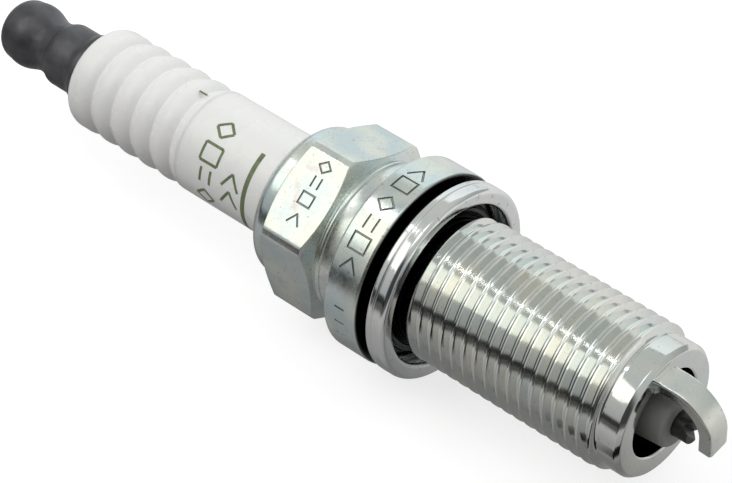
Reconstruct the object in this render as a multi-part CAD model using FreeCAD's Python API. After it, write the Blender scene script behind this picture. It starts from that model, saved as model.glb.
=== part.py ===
"""A spark plug with a 14 mm thread, built from its separate pieces.

The plug lies along X: the origin is the centre of its seat face, the firing end points along +X,
the terminal along -X, and the ground electrode stands on the +Z side. Units are millimetres.
Every turned piece is a profile of (x, r) points turned about the X axis.
"""
import FreeCAD, Part
import math
import os
from FreeCAD import Vector

os.makedirs("parts", exist_ok=True)

# ---- driving dimensions -------------------------------------------------------------------
reach = 26.5                # seat face to the end of the shell
thread_r = 6.93             # crest radius of the M14 x 1.25 thread
thread_pitch = 1.25
thread_depth = 0.68
first_crest_x = 3.6
crest_count = 17
neck_r = 6.2                # relief between seat face and first thread
pilot_r = 6.35              # plain end of the shell in front of the thread
end_face_r = 6.0
fire_bore_r = 4.22          # bore around the insulator nose
stem_bore_r = 4.85          # bore above the internal ledge
ledge_x = 9.4
body_bore_r = 6.0           # bore around the insulator collar
body_bore_x = -2.0          # where the bore narrows in front of the collar
cavity_rear_x = -13.15      # end of the straight bore, under the crimp

flange_r = 9.5
flange_x = -3.8
hex_across_flats = 15.9
hex_corner_r = 8.95
hex_front_x = -6.75
hex_rear_x = -12.9
hex_end_r = 7.4             # radius to which both ends of the hexagon are turned down
hex_corner_round = 0.8
hex_turn = 5.0              # degrees from the ground electrode round to the nearest corner
crimp_end_x = -15.1

barrel_r = 5.1              # outside of the insulator
rib_pitch = 2.58
rib_count = 5
rib_depth = 0.42
first_valley_x = -37.8
insulator_top_x = -41.2
nose_tip_x = 28.0
nose_tip_r = 2.55
nose_root_r = 3.6
glaze_end_x = -15.3         # the glazed barrel ends where it enters the crimp
packed_r = 4.93             # unglazed barrel inside the shell, which the talc surrounds
collar_rear_x = -8.3        # rear face of the insulator's collar
bore_r = 1.65               # insulator bore behind the centre electrode
electrode_r = 1.25
electrode_end_x = 29.6
electrode_head_x = 5.0
groove_turn = 35.0          # degrees from the ground electrode round to the V groove
core_r = 0.7                # copper core of the centre electrode
core_end_x = 25.0
resistor_front_x = 2.6
resistor_rear_x = -6.5
upper_glass_rear_x = -9.8
stud_end_x = -8.6

stud_thread_r = 2.0         # M4 thread under the terminal nut
nut_end_x = -53.0
nut_shoulder_r = 3.2

gasket_rear_x = 1.0         # the captive gasket hangs loose between seat face and thread
gasket_front_x = 3.05
gasket_r = 9.4
gasket_inner_r = 6.62
gasket_sheet = 0.34
gasket_rear_round = 0.3
gasket_front_round = 0.55

strap_lean = 4.0            # degrees from +Z round to the strap, towards -Y
strap_width = 2.4
strap_thickness = 1.3
strap_centre_z = 4.87
strap_straight = 1.62
strap_bend_r = 3.43
strap_turn = 94.5           # degrees from the shell's end round to the arm
strap_arm = 1.85
strap_corner = 0.25         # how much the corners of the strap's end are cut off

axis_origin = Vector(0, 0, 0)
axis_direction = Vector(1, 0, 0)


def at(x, r):
    return Vector(x, 0, r)


def polar(centre_x, centre_r, radius, degrees):
    """The point of an arc in the profile plane, with degrees counted from +X towards +r."""
    angle = math.radians(degrees)
    return (centre_x + radius * math.cos(angle), centre_r + radius * math.sin(angle))


def profile_face(steps):
    """A flat face from steps: (x, r) runs straight, (x, r, mid_x, mid_r) runs as an arc."""
    edges = []
    here = steps[0]
    for step in steps[1:] + [steps[0][:2]]:
        start = at(*here[:2])
        end = at(*step[:2])
        if start.distanceToPoint(end) > 1e-7:
            if len(step) == 4:
                edges.append(Part.Arc(start, at(*step[2:]), end).toShape())
            else:
                edges.append(Part.LineSegment(start, end).toShape())
        here = step
    return Part.Face(Part.Wire(edges))


def turned(steps):
    """One solid of revolution about the X axis."""
    return profile_face(steps).revolve(axis_origin, axis_direction, 360)


def tube(x0, x1, outer_r, inner_r=0.0):
    return turned([(x0, inner_r), (x1, inner_r), (x1, outer_r), (x0, outer_r)])


def wire_ring(centre_x, centre_r, wire_r):
    return Part.makeTorus(centre_r, wire_r, Vector(centre_x, 0, 0), axis_direction)


def cone_run(rise, degrees):
    """How far along X a cone runs while its radius changes by rise."""
    return rise / math.tan(math.radians(degrees))


def save(name, shape):
    if not shape.isValid():
        raise ValueError(name + " is not a valid solid")
    shape.exportStep("parts/" + name + ".step")
    box = shape.BoundBox
    print("%-24s %d solid  %8.2f mm3  x %.2f to %.2f" % (
        name, len(shape.Solids), shape.Volume, box.XMin, box.XMax))


# ---- metal shell --------------------------------------------------------------------------
def shell_outline():
    """The outside of the shell without its hexagon, from the crimp forward to the end face."""
    groove_r = 7.25
    bead_r = 0.32
    edge = 0.3
    steps = [(crimp_end_x + 0.25, barrel_r + 0.02)]
    steps.append((crimp_end_x + 0.55, 6.95, crimp_end_x + 0.02, 6.05))
    steps.append((crimp_end_x + 1.45, hex_end_r, crimp_end_x + 0.88, 7.28))
    steps.append((hex_front_x, hex_end_r))
    bead_x = hex_front_x + bead_r
    steps.append((hex_front_x + 2 * bead_r, hex_end_r, bead_x, hex_end_r + 0.2))
    steps.append((hex_front_x + 0.95, groove_r))
    steps.append((flange_x - 0.4, groove_r))
    steps.append((flange_x, groove_r + 0.4, flange_x - 0.12, groove_r + 0.12))
    steps.append((flange_x, flange_r - edge))
    steps.append((flange_x + edge, flange_r))
    steps.append((-edge, flange_r))
    steps.append((0, flange_r - edge))
    steps.append((0, neck_r))
    return steps


def thread_outline():
    """Ring-shaped thread ridges at the real pitch, each with a narrow land at its crest."""
    land = thread_pitch / 8
    root = thread_pitch / 4
    flank = (thread_pitch - land - root) / 2
    root_r = thread_r - thread_depth
    steps = [(first_crest_x - land / 2 - flank - 0.15, neck_r)]
    for number in range(crest_count):
        centre = first_crest_x + number * thread_pitch
        steps.append((centre - land / 2 - flank, root_r))
        steps.append((centre - land / 2, thread_r))
        steps.append((centre + land / 2, thread_r))
        steps.append((centre + land / 2 + flank, root_r))
    steps.append((steps[-1][0] + 0.12, pilot_r))
    steps.append((reach - 0.45, pilot_r))
    steps.append((reach, end_face_r))
    return steps


def shell_bore():
    """The stepped bore, from the firing end back to the crimp."""
    bore_edge = 0.15
    ledge_run = cone_run(stem_bore_r - fire_bore_r, 30)
    seat_run = cone_run(body_bore_r - stem_bore_r, 45)
    steps = [(reach, fire_bore_r + bore_edge), (reach - bore_edge, fire_bore_r)]
    steps.append((ledge_x + ledge_run, fire_bore_r))
    steps.append((ledge_x, stem_bore_r))
    steps.append((body_bore_x + seat_run, stem_bore_r))
    steps.append((body_bore_x, body_bore_r))
    steps.append((cavity_rear_x, body_bore_r))
    steps.append((crimp_end_x + 0.9, barrel_r + 0.02, -13.9, 5.72))
    return steps


def hexagon():
    """The spanner hexagon, its corners rounded off and both ends turned to a slightly full cone."""
    rise = hex_corner_r - hex_end_r
    rear_run = rise * math.tan(math.radians(30))
    front_run = rise * math.tan(math.radians(27))
    fullness = 0.03
    middle_r = (hex_corner_r + hex_end_r) / 2 + fullness
    rear_land = hex_rear_x + rear_run
    front_land = hex_front_x - front_run
    steps = [(hex_rear_x, body_bore_r), (hex_rear_x, hex_end_r)]
    steps.append((rear_land, hex_corner_r, (hex_rear_x + rear_land) / 2 - fullness, middle_r))
    steps.append((front_land, hex_corner_r))
    steps.append((hex_front_x, hex_end_r, (hex_front_x + front_land) / 2 + fullness, middle_r))
    steps.append((hex_front_x, body_bore_r))
    body = turned(steps)
    sharp_r = hex_across_flats / 2 / math.cos(math.radians(30))
    corners = []
    for number in range(7):
        angle = math.radians(hex_turn + 60 * number)
        corners.append(Vector(hex_rear_x - 1, -sharp_r * math.sin(angle), sharp_r * math.cos(angle)))
    prism = Part.Face(Part.makePolygon(corners)).extrude(Vector(hex_front_x - hex_rear_x + 2, 0, 0))
    long_edges = [e for e in prism.Edges if abs(e.Vertexes[0].X - e.Vertexes[1].X) > 1]
    prism = prism.makeFillet(hex_corner_round, long_edges)
    return body.common(prism)


def metal_shell():
    body = turned(shell_outline() + thread_outline() + shell_bore())
    return body.fuse(hexagon()).removeSplitter()


# ---- insulator and what its bore holds ------------------------------------------------------
def insulator_outline():
    """Ribbed barrel, collar, stem and nose, from the top face forward to the nose tip."""
    top_round = 1.2
    steps = [(insulator_top_x, barrel_r - top_round)]
    mid = polar(insulator_top_x + top_round, barrel_r - top_round, top_round, 135)
    steps.append((insulator_top_x + top_round, barrel_r, mid[0], mid[1]))
    valley_half = 0.62
    for number in range(rib_count):
        valley = first_valley_x + number * rib_pitch
        steps.append((valley - 2 * valley_half + 0.1, barrel_r))
        steps.append((valley - 0.36, barrel_r - 0.3, valley - 0.74, barrel_r - 0.08))
        steps.append((valley + 0.36, barrel_r - 0.3, valley, barrel_r - rib_depth))
        steps.append((valley + 2 * valley_half - 0.1, barrel_r, valley + 0.74, barrel_r - 0.08))
    collar_r = body_bore_r - 0.06
    stem_r = stem_bore_r - 0.1
    steps.append((glaze_end_x, barrel_r))
    steps.append((glaze_end_x + 0.1, packed_r))
    steps.append((collar_rear_x, packed_r))
    steps.append((collar_rear_x, collar_r - 0.3))
    steps.append((collar_rear_x + 0.3, collar_r))
    steps.append((body_bore_x - 1.0, collar_r))
    steps.append((body_bore_x + 0.25, stem_r))
    steps.append((ledge_x - 0.35, stem_r))
    steps.append((ledge_x + 0.55, 3.9))
    steps.append((ledge_x + 1.6, nose_root_r))
    steps.append((nose_tip_x - 0.4, nose_tip_r))
    steps.append((nose_tip_x, nose_tip_r - 0.4, nose_tip_x - 0.12, nose_tip_r - 0.12))
    return steps


def insulator_bore():
    """The stepped bore from the nose tip back to the countersink for the stud's collar."""
    step_x = electrode_head_x + 0.8
    steps = [(nose_tip_x, electrode_r + 0.02), (step_x + 0.5, electrode_r + 0.02)]
    steps.append((step_x, bore_r))
    steps.append((insulator_top_x + 0.9, bore_r))
    steps.append((insulator_top_x + 0.9, 2.35))
    steps.append((insulator_top_x, 2.35))
    return steps


def centre_electrode():
    """Nickel alloy electrode with a head at the step of the bore and a V groove across its end."""
    step_x = electrode_head_x + 0.8
    body = turned([(electrode_head_x, 0), (electrode_end_x, 0),
                   (electrode_end_x, electrode_r - 0.12),
                   (electrode_end_x - 0.12, electrode_r, electrode_end_x - 0.03, electrode_r - 0.03),
                   (step_x + 0.45, electrode_r),
                   (step_x - 0.05, bore_r - 0.04), (electrode_head_x, bore_r - 0.04)])
    core = tube(electrode_head_x, core_end_x, core_r)
    groove_depth = 0.62
    half_angle = 45
    reach_out = 2.0
    opening = (groove_depth + reach_out) * math.tan(math.radians(half_angle))
    bottom_x = electrode_end_x - groove_depth
    wedge_points = [Vector(bottom_x, 0, -3), Vector(bottom_x + groove_depth + reach_out, opening, -3),
                    Vector(bottom_x + groove_depth + reach_out, -opening, -3), Vector(bottom_x, 0, -3)]
    wedge = Part.Face(Part.makePolygon(wedge_points)).extrude(Vector(0, 0, 6))
    wedge.rotate(axis_origin, axis_direction, groove_turn)
    return body.cut(core).cut(wedge)


def terminal_stud():
    """Stud with an M4 thread, a collar on top of the insulator and a knurled end in the glass."""
    root_r = 1.62
    top_x = -49.6
    pitch = 0.7
    turns = 10
    land = 0.1
    steps = [(top_x, 0), (top_x, root_r - 0.3), (top_x + 0.3, root_r)]
    for number in range(turns):
        centre = top_x + 0.75 + number * pitch
        steps.append((centre - 0.28, root_r))
        steps.append((centre - land / 2, stud_thread_r - 0.05))
        steps.append((centre + land / 2, stud_thread_r - 0.05))
        steps.append((centre + 0.28, root_r))
    collar_x = insulator_top_x
    steps.append((collar_x, root_r))
    steps.append((collar_x, 2.3))
    steps.append((collar_x + 0.85, 2.3))
    steps.append((collar_x + 0.85, 1.5))
    steps.append((stud_end_x - 3.2, 1.5))
    for number in range(5):
        ridge = stud_end_x - 2.9 + number * 0.55
        steps.append((ridge, 1.2))
        steps.append((ridge + 0.22, 1.4))
        steps.append((ridge + 0.33, 1.4))
    steps.append((stud_end_x - 0.12, 1.1))
    steps.append((stud_end_x, 1.0))
    steps.append((stud_end_x, 0))
    return turned(steps)


def upper_glass_seal(stud):
    return tube(upper_glass_rear_x, resistor_rear_x, bore_r).cut(stud)


# ---- terminal nut -------------------------------------------------------------------------
def terminal_nut():
    """Turned terminal: bulb for the plug cap, waist, shoulder and a base flange on the insulator."""
    base_x = insulator_top_x
    thread_hole_r = stud_thread_r
    hole_end_x = -50.0
    steps = [(nut_end_x, 0), (nut_end_x, 1.9)]
    steps.append((-51.2, 3.12, -52.55, 2.75))
    steps.append((-49.35, 3.14, -50.3, 3.28))
    steps.append((-48.3, 2.78))
    steps.append((-47.0, 2.72, -47.6, 2.66))
    steps.append((-46.35, 2.85))
    steps.append((-45.4, nut_shoulder_r, -45.95, 3.12))
    steps.append((-43.4, nut_shoulder_r))
    steps.append((-42.6, 3.5, -42.95, 3.26))
    steps.append((-42.1, 3.72))
    steps.append((base_x - 0.2, 3.72))
    steps.append((base_x, 3.55))
    steps.append((base_x, thread_hole_r + 0.35))
    steps.append((base_x - 0.35, thread_hole_r))
    steps.append((hole_end_x, thread_hole_r))
    steps.append((hole_end_x - 0.9, 0))
    return turned(steps)


# ---- gasket ---------------------------------------------------------------------------------
def seat_gasket():
    """Captive gasket: one steel sheet folded to a hollow ring, its inner lip under the thread."""
    sheet = gasket_sheet
    rear = gasket_rear_x
    front = gasket_front_x
    rear_round = gasket_rear_round
    front_round = gasket_front_round
    steps = [(rear, gasket_inner_r + 0.4)]
    steps.append((rear, gasket_r - rear_round))
    mid = polar(rear + rear_round, gasket_r - rear_round, rear_round, 135)
    steps.append((rear + rear_round, gasket_r, mid[0], mid[1]))
    steps.append((front - front_round, gasket_r))
    mid = polar(front - front_round, gasket_r - front_round, front_round, 45)
    steps.append((front, gasket_r - front_round, mid[0], mid[1]))
    steps.append((front, 8.25))
    steps.append((front - 0.5, 7.85, front - 0.12, 7.95))
    steps.append((front - 0.5 - sheet * 0.4, 7.85 + sheet))
    steps.append((front - sheet, 8.3 + sheet * 0.5, front - sheet - 0.08, 8.24 + sheet * 0.3))
    steps.append((front - sheet, gasket_r - front_round))
    mid = polar(front - front_round, gasket_r - front_round, front_round - sheet, 45)
    steps.append((front - front_round, gasket_r - sheet, mid[0], mid[1]))
    steps.append((rear + sheet, gasket_r - sheet))
    steps.append((rear + sheet, gasket_inner_r + 0.75))
    steps.append((rear + sheet + 0.35, gasket_inner_r + 0.34, rear + sheet + 0.1, gasket_inner_r + 0.42))
    steps.append((rear + sheet + 0.3, gasket_inner_r))
    steps.append((rear, gasket_inner_r + 0.4, rear + 0.18, gasket_inner_r + 0.1))
    return turned(steps)


# ---- packing between insulator and shell ------------------------------------------------------
def seat_packing():
    """Soft iron washer squeezed between the shell's ledge and the insulator's shoulder."""
    gap_out = 0.02
    rise = cone_run(0.4, 30)
    outer = stem_bore_r - gap_out
    return turned([(ledge_x - 0.02, outer), (ledge_x - 0.35, outer), (ledge_x - 0.33, 4.76),
                   (ledge_x + 0.33, 4.14), (ledge_x + rise + 0.02, 4.42)])


# ---- ground electrode -------------------------------------------------------------------------
def ground_electrode():
    """Flat bar welded on the shell's end face and bent over the centre electrode."""
    half = strap_thickness / 2
    start_x = reach
    bend_x = start_x + strap_straight
    bend_z = strap_centre_z - strap_bend_r
    turn = math.radians(strap_turn)

    def on_bend(radius, angle):
        return Vector(bend_x + radius * math.sin(angle), 0, bend_z + radius * math.cos(angle))

    along = Vector(math.cos(turn), 0, -math.sin(turn))
    forward = along * strap_arm
    outer_r = strap_bend_r + half
    inner_r = strap_bend_r - half
    outer_end = on_bend(outer_r, turn) + forward
    inner_end = on_bend(inner_r, turn) + forward
    outline = [
        Part.LineSegment(Vector(start_x, 0, strap_centre_z + half), on_bend(outer_r, 0)).toShape(),
        Part.Arc(on_bend(outer_r, 0), on_bend(outer_r, turn / 2), on_bend(outer_r, turn)).toShape(),
        Part.LineSegment(on_bend(outer_r, turn), outer_end).toShape(),
        Part.LineSegment(outer_end, inner_end).toShape(),
        Part.LineSegment(inner_end, on_bend(inner_r, turn)).toShape(),
        Part.Arc(on_bend(inner_r, turn), on_bend(inner_r, turn / 2), on_bend(inner_r, 0)).toShape(),
        Part.LineSegment(on_bend(inner_r, 0), Vector(start_x, 0, strap_centre_z - half)).toShape(),
        Part.LineSegment(Vector(start_x, 0, strap_centre_z - half),
                         Vector(start_x, 0, strap_centre_z + half)).toShape(),
    ]
    bar = Part.Face(Part.Wire(outline))
    bar.translate(Vector(0, -strap_width / 2, 0))
    bar = bar.extrude(Vector(0, strap_width, 0))
    tip = (outer_end + inner_end) * 0.5
    clear = 3.0
    across = Vector(math.sin(turn), 0, math.cos(turn)) * clear
    for side in (-1, 1):
        beside = Vector(0, side, 0)
        start = tip - along * strap_corner + beside * (strap_width / 2)
        end = tip + beside * (strap_width / 2 - strap_corner)
        out = end - start
        corner = [start - out, end + out, end + out + beside * clear, start - out + beside * clear]
        wedge = Part.Face(Part.makePolygon([c - across for c in corner] + [corner[0] - across]))
        bar = bar.cut(wedge.extrude(across * 2))
    bar.rotate(axis_origin, axis_direction, strap_lean)
    return bar


ring_centre_r = (body_bore_r + packed_r) / 2
ring_wire_r = (body_bore_r - packed_r) / 2 - 0.02
talc_front_x = collar_rear_x - 2 * ring_wire_r
talc_rear_x = cavity_rear_x + 2 * ring_wire_r
stud = terminal_stud()
save("metal_shell", metal_shell())
save("insulator", turned(insulator_outline() + insulator_bore()))
save("centre_electrode", centre_electrode())
save("centre_electrode_core", tube(electrode_head_x, core_end_x, core_r))
save("lower_glass_seal", tube(resistor_front_x, electrode_head_x, bore_r))
save("resistor", tube(resistor_rear_x, resistor_front_x, bore_r))
save("upper_glass_seal", upper_glass_seal(stud))
save("terminal_stud", stud)
save("terminal_nut", terminal_nut())
save("lower_packing_ring", wire_ring(collar_rear_x - ring_wire_r, ring_centre_r, ring_wire_r))
save("talc_seal", tube(talc_rear_x, talc_front_x, body_bore_r - 0.01, packed_r + 0.01))
save("upper_packing_ring", wire_ring(talc_rear_x - ring_wire_r, ring_centre_r, ring_wire_r))
save("insulator_seat_packing", seat_packing())
save("ground_electrode", ground_electrode())
save("seat_gasket", seat_gasket())
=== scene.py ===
# Looks of a spark plug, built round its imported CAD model.
# Sizes in the dictionaries are millimetres. Angles are degrees from the ground electrode's side (+Z)
# round towards -Y.
import math

import bmesh
import bpy
from mathutils import Matrix, Vector, noise as solidNoise


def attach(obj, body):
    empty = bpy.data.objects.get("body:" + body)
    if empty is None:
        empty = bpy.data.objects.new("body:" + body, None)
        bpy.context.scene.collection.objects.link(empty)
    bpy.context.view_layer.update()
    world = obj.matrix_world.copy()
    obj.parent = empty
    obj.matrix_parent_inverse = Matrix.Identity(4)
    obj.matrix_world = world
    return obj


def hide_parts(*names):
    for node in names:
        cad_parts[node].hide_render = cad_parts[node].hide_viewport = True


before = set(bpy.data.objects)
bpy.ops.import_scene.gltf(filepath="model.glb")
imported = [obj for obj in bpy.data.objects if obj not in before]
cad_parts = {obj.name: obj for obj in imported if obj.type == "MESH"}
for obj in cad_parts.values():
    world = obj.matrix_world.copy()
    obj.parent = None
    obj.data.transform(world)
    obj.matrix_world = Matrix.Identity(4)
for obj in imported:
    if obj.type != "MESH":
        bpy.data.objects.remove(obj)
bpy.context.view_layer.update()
scene = bpy.context.scene
mm = 0.001


# small mesh helpers
def arcPoints(start, middle, end):
    # the arc through three (x, r) points, without its start
    (ax, ay), (bx, by), (cx, cy) = start, middle, end
    span = 2 * (ax * (by - cy) + bx * (cy - ay) + cx * (ay - by))
    a2, b2, c2 = ax * ax + ay * ay, bx * bx + by * by, cx * cx + cy * cy
    ux = (a2 * (by - cy) + b2 * (cy - ay) + c2 * (ay - by)) / span
    uy = (a2 * (cx - bx) + b2 * (ax - cx) + c2 * (bx - ax)) / span
    radius = math.hypot(ax - ux, ay - uy)
    first = math.atan2(ay - uy, ax - ux)
    last = math.atan2(cy - uy, cx - ux)
    half = math.atan2(by - uy, bx - ux)
    turn = (last - first) % (2 * math.pi)
    if (half - first) % (2 * math.pi) > turn:
        turn -= 2 * math.pi
    count = max(3, math.ceil(abs(turn) / math.radians(9)))
    return [(ux + radius * math.cos(first + turn * i / count),
             uy + radius * math.sin(first + turn * i / count)) for i in range(1, count + 1)]


def outline(steps):
    # (x, r) runs straight, (x, r, middle x, middle r) runs as an arc
    points = [tuple(steps[0])]
    for step in steps[1:]:
        if len(step) == 4:
            points += arcPoints(points[-1], step[2:], step[:2])
        else:
            points.append(tuple(step))
    return points


def soften(points, size):
    # rounds every sharp corner of a closed outline, so that its edges catch the light
    softened = []
    for i, here in enumerate(points):
        before, after = Vector(points[i - 1]), Vector(points[(i + 1) % len(points)])
        corner = Vector(here)
        back, ahead = before - corner, after - corner
        onAxis = here[1] < 1e-6
        if onAxis or back.length < 1e-6 or ahead.length < 1e-6 or back.angle(ahead) > math.radians(158):
            softened.append(here)
            continue
        reach = min(size, 0.4 * back.length, 0.4 * ahead.length)
        start = corner + back.normalized() * reach
        end = corner + ahead.normalized() * reach
        for t in (0.0, 0.25, 0.5, 0.75, 1.0):
            point = start * (1 - t) ** 2 + corner * 2 * t * (1 - t) + end * t ** 2
            softened.append((point.x, point.y))
    return softened


def place(x, r, degrees):
    angle = math.radians(degrees)
    return Vector((x * mm, -r * math.sin(angle) * mm, r * math.cos(angle) * mm))


def toMesh(work, mesh, outward=True):
    # writes the edited geometry into a mesh, with its faces turned outward
    if outward:
        bmesh.ops.recalc_face_normals(work, faces=work.faces)
    work.to_mesh(mesh)
    work.free()
    return mesh


def rowsToMesh(name, rows, columns, closed=True):
    # each row is one (x, r) for the whole turn, or a list with one (x, r) for each column
    work = bmesh.new()
    rings = []
    for row in rows:
        if isinstance(row, tuple) and row[1] < 1e-6:
            rings.append([work.verts.new(place(row[0], 0, 0))] * columns)
            continue
        cells = [row] * columns if isinstance(row, tuple) else row
        rings.append([work.verts.new(place(x, r, 360 * i / columns)) for i, (x, r) in enumerate(cells)])
    following = rings[1:] + rings[:1] if closed else rings[1:]
    for ring, other in zip(rings, following):
        for i in range(columns):
            j = (i + 1) % columns
            corners = []
            for vertex in (ring[i], ring[j], other[j], other[i]):
                if vertex not in corners:
                    corners.append(vertex)
            if len(corners) > 2:
                work.faces.new(corners)
    return toMesh(work, bpy.data.meshes.new(name), closed)


def newPiece(name, mesh, material, smoothAngle=32):
    piece = bpy.data.objects.new(name, mesh)
    scene.collection.objects.link(piece)
    mesh.materials.append(material)
    shadeByAngle(mesh, smoothAngle)
    return piece


def shadeByAngle(mesh, degrees):
    mesh.shade_smooth()
    mesh.set_sharp_from_angle(angle=math.radians(degrees))


def settle(piece, smoothAngle=32, outward=True):
    # turns the evaluated modifiers into the piece's plain mesh
    graph = bpy.context.evaluated_depsgraph_get()
    mesh = bpy.data.meshes.new_from_object(piece.evaluated_get(graph), depsgraph=graph)
    if piece.type == "MESH":
        piece.modifiers.clear()
        piece.data = mesh
        result = piece
    else:
        name = piece.name
        bpy.data.objects.remove(piece)
        result = bpy.data.objects.new(name, mesh)
        scene.collection.objects.link(result)
    if outward:
        work = bmesh.new()
        work.from_mesh(mesh)
        toMesh(work, mesh)
    shadeByAngle(mesh, smoothAngle)
    return result


# node helpers, for shader and geometry trees alike
def addNode(tree, kind, settings=None, **inputs):
    made = tree.nodes.new(kind)
    for label, value in (settings or {}).items():
        setattr(made, label, value)
    for label, value in inputs.items():
        feed(tree, made.inputs[label.replace("_", " ")], value)
    return made


def feed(tree, socket, value):
    if isinstance(value, bpy.types.NodeSocket):
        tree.links.new(value, socket)
    else:
        socket.default_value = value


def maths(tree, operation, *values):
    made = tree.nodes.new("ShaderNodeMath")
    made.operation = operation
    for socket, value in zip(made.inputs, values):
        feed(tree, socket, value)
    return made.outputs[0]


def spread(tree, value, low, high, newLow, newHigh, smooth=False):
    made = tree.nodes.new("ShaderNodeMapRange")
    made.interpolation_type = "SMOOTHSTEP" if smooth else "LINEAR"
    for socket, item in zip(made.inputs, (value, low, high, newLow, newHigh)):
        feed(tree, socket, item)
    return made.outputs[0]


def softStrip(tree, distance, halfWidth, edge):
    # 1 inside a strip and 0 outside it, with a soft edge
    return spread(tree, distance, halfWidth - edge, halfWidth + edge, 1, 0, True)


def dimmed(tree, mask, share):
    # 1 where the mask is 0, and the share where it is 1
    return maths(tree, "SUBTRACT", 1.0, maths(tree, "MULTIPLY", mask, 1 - share))


def blendColours(tree, share, first, second, mode="MIX"):
    made = tree.nodes.new("ShaderNodeMix")
    made.data_type = "RGBA"
    made.blend_type = mode
    feed(tree, made.inputs[0], share)
    feed(tree, made.inputs[6], first)
    feed(tree, made.inputs[7], second)
    return made.outputs[2]


def grain(tree, vector, scale, detail=3.0, roughness=0.55):
    made = addNode(tree, "ShaderNodeTexNoise", None, Vector=vector, Scale=scale, Detail=detail,
                   Roughness=roughness)
    return made.outputs["Fac"]


def newTree(name, inputs):
    tree = bpy.data.node_groups.new(name, "GeometryNodeTree")
    tree.interface.new_socket("Geometry", in_out="INPUT", socket_type="NodeSocketGeometry")
    for label, kind in inputs:
        tree.interface.new_socket(label, in_out="INPUT", socket_type="NodeSocket" + kind)
    tree.interface.new_socket("Geometry", in_out="OUTPUT", socket_type="NodeSocketGeometry")
    return tree, tree.nodes.new("NodeGroupInput").outputs, tree.nodes.new("NodeGroupOutput").inputs


def addTree(piece, tree, values):
    modifier = piece.modifiers.new(tree.name, "NODES")
    modifier.node_group = tree
    for item in tree.interface.items_tree:
        if item.in_out == "INPUT" and item.name in values:
            modifier[item.identifier] = values[item.name]


def axesOf(tree, vector):
    return addNode(tree, "ShaderNodeSeparateXYZ", None, Vector=vector).outputs


def ownPlace(tree):
    return axesOf(tree, tree.nodes.new("GeometryNodeInputPosition").outputs[0])


def roundTheAxis(tree, geometry, x, radius, angle):
    # moves every point to its x, radius and angle in radians
    y = maths(tree, "MULTIPLY", maths(tree, "MULTIPLY", radius, maths(tree, "SINE", angle)), -1.0)
    z = maths(tree, "MULTIPLY", radius, maths(tree, "COSINE", angle))
    moved = addNode(tree, "GeometryNodeSetPosition", None, Geometry=geometry,
                    Position=addNode(tree, "ShaderNodeCombineXYZ", None, X=x, Y=y, Z=z).outputs[0])
    return moved.outputs[0]


def endTree(tree, geometry, finish, result):
    real = addNode(tree, "GeometryNodeRealizeInstances", None, Geometry=geometry)
    finished = addNode(tree, "GeometryNodeSetMaterial", None, Geometry=real.outputs[0], Material=finish)
    tree.links.new(finished.outputs[0], result[0])


# materials
def newMaterial(name, colour, metallic=0.0, roughness=0.4):
    material = bpy.data.materials.new(name)
    material.use_nodes = True
    tree = material.node_tree
    shader = tree.nodes["Principled BSDF"]
    shader.inputs["Base Color"].default_value = (*colour, 1)
    shader.inputs["Metallic"].default_value = metallic
    shader.inputs["Roughness"].default_value = roughness
    coordinates = tree.nodes.new("ShaderNodeTexCoord")
    return material, tree, shader, coordinates.outputs["Object"]


def turnedCoordinates(tree, position):
    # (x, distance from the axis, 0), so that a pattern on it runs round the axis as turning marks do
    axes = axesOf(tree, position)
    radius = maths(tree, "SQRT", maths(tree, "ADD", maths(tree, "POWER", axes["Y"], 2.0),
                                       maths(tree, "POWER", axes["Z"], 2.0)))
    joined = addNode(tree, "ShaderNodeCombineXYZ", None, X=axes["X"], Y=radius)
    return joined.outputs["Vector"], axes["X"], radius


def addBump(tree, shader, layers):
    # layers are (height, strength, distance in millimetres), laid over each other
    normal = None
    for height, strength, distance in layers:
        bump = addNode(tree, "ShaderNodeBump", None, Strength=strength, Distance=distance * mm, Height=height)
        if normal:
            tree.links.new(normal, bump.inputs["Normal"])
        normal = bump.outputs["Normal"]
    tree.links.new(normal, shader.inputs["Normal"])


plating = {
    "coolTint": (0.66, 0.74, 0.745),
    "warmTint": (0.84, 0.86, 0.78),
    "bloomTint": (0.66, 0.52, 0.56),
    "bloomShare": 0.55,
    "smooth": 0.16,
    "rough": 0.34,
    "pitDepth": 0.010,
    "turningDepth": 0.006,
    "speckTint": (0.30, 0.36, 0.30),
    "speckShare": 0.55,
    "cloudScale": 260,
    "fineScale": 2400,
    "turningScale": 5200,
    "bloomScale": 410,
}


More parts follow.
